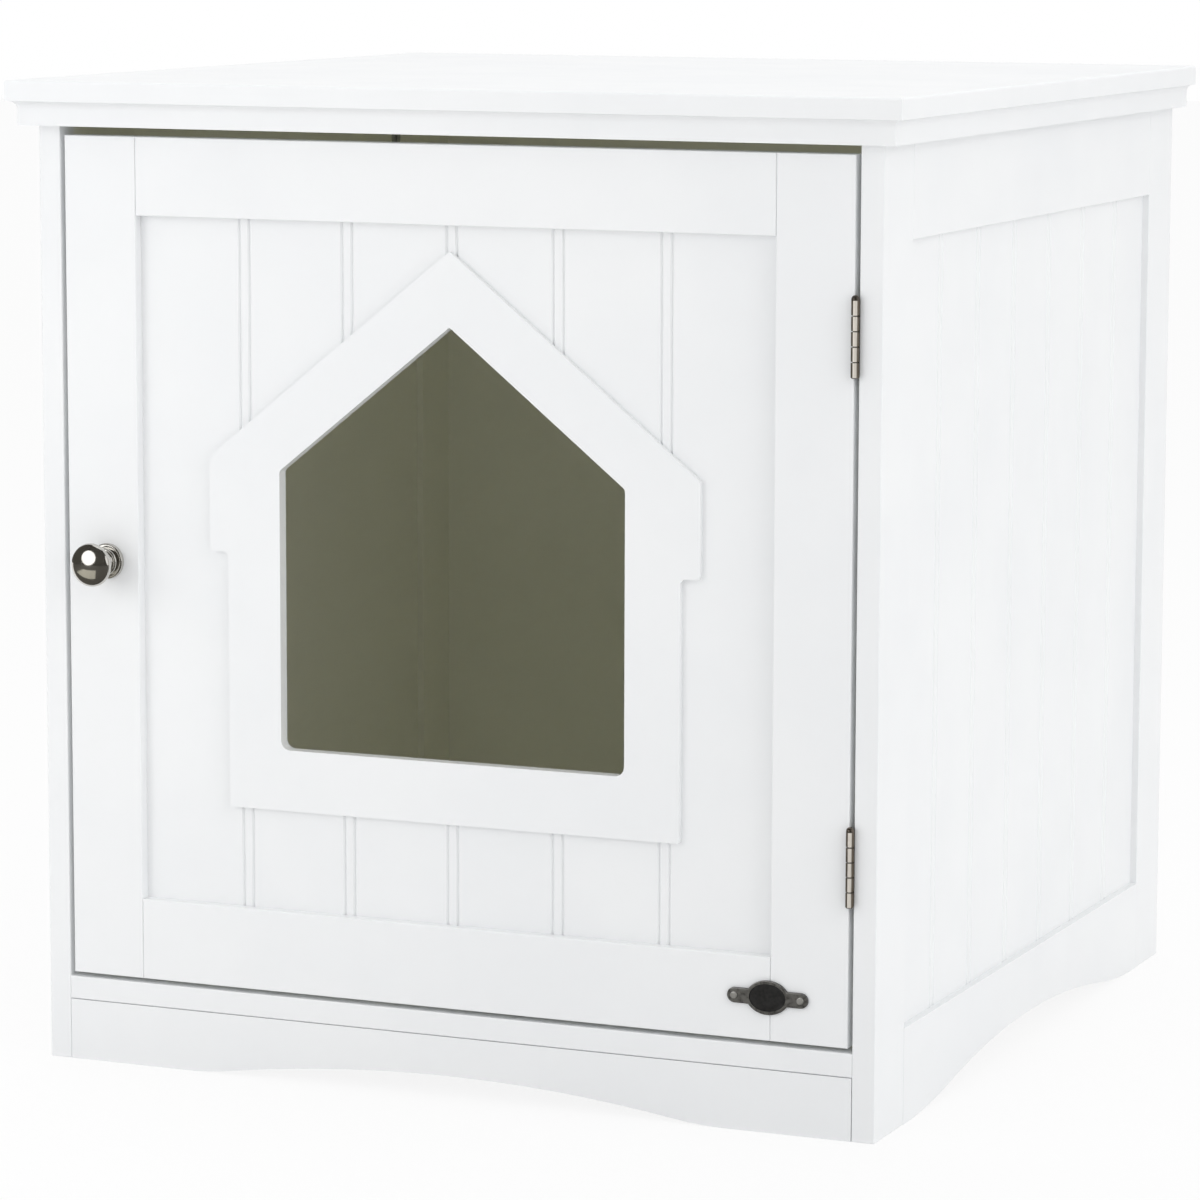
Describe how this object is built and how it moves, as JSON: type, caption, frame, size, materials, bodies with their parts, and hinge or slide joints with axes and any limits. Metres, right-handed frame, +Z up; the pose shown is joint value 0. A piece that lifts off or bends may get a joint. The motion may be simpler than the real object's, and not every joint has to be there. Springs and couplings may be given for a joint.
{
  "type": "cat house cabinet",
  "caption": "Free-standing white cat house cabinet with a panelled body, arched base and cornice, and a hinged bead-board door with a knob and a house-shaped entrance.",
  "frame": {"origin": "on the floor, under the middle of the outer box", "axes": "+Z up, +Y from the door to the back, +X to the right of someone who faces the door"},
  "size_m": [0.485, 0.499, 0.51],
  "materials": {
    "white_paint": "satin white paint on board",
    "door_paint": "satin white paint on board",
    "dowel_beech": "plain fluted-dowel beech",
    "cam_zinc": "zinc plated",
    "screw_steel": "bright zinc plated",
    "knob_chrome": "polished",
    "hinge_nickel": "satin nickel",
    "catch_plastic": "moulded white",
    "catch_magnet": "dark sintered",
    "plain_steel": "nickel plated",
    "dark_pewter": "dark pewter, worn edge"
  },
  "bodies": {
    "carcass": {"back_panel": "white_paint", "back_screws": "screw_steel", "cam_bolts": "cam_zinc", "cam_locks": "cam_zinc", "carcass_dowels": "dowel_beech", "catch_housing": "catch_plastic", "catch_magnet": "catch_magnet", "catch_poles": "plain_steel", "catch_screws": "screw_steel", "floor_board": "white_paint", "frame_dowels": "dowel_beech", "front_apron": "white_paint", "front_cornice": "white_paint", "front_stretcher": "white_paint", "hinge_frame_leaves": "hinge_nickel", "hinge_frame_screws": "screw_steel", "hinge_pins": "hinge_nickel", "left_bead_panel": "white_paint", "left_bottom_rail": "white_paint", "left_cornice": "white_paint", "left_front_stile": "white_paint", "left_rear_stile": "white_paint", "left_top_rail": "white_paint", "rear_apron": "white_paint", "rear_stretcher": "white_paint", "right_bead_panel": "white_paint", "right_bottom_rail": "white_paint", "right_cornice": "white_paint", "right_front_stile": "white_paint", "right_rear_stile": "white_paint", "right_top_rail": "white_paint", "top_board": "white_paint"},
    "door": {"blank_plate": "dark_pewter", "door_bead_panel": "door_paint", "door_bottom_rail": "door_paint", "door_dowels": "dowel_beech", "door_left_stile": "door_paint", "door_right_stile": "door_paint", "door_top_rail": "door_paint", "hinge_door_leaves": "hinge_nickel", "hinge_door_screws": "screw_steel", "house_surround": "door_paint", "knob": "knob_chrome", "knob_screw": "screw_steel", "plate_pins": "dark_pewter", "strike_plate": "plain_steel", "strike_screw": "screw_steel"}
  },
  "joints": [
    {"name": "door_hinge", "type": "hinge", "parent": "carcass", "child": "door", "pos_m": [0.2162, -0.22885, 0.265], "axis": [0, 0, 1], "range_deg": [0, 180]}
  ]
}
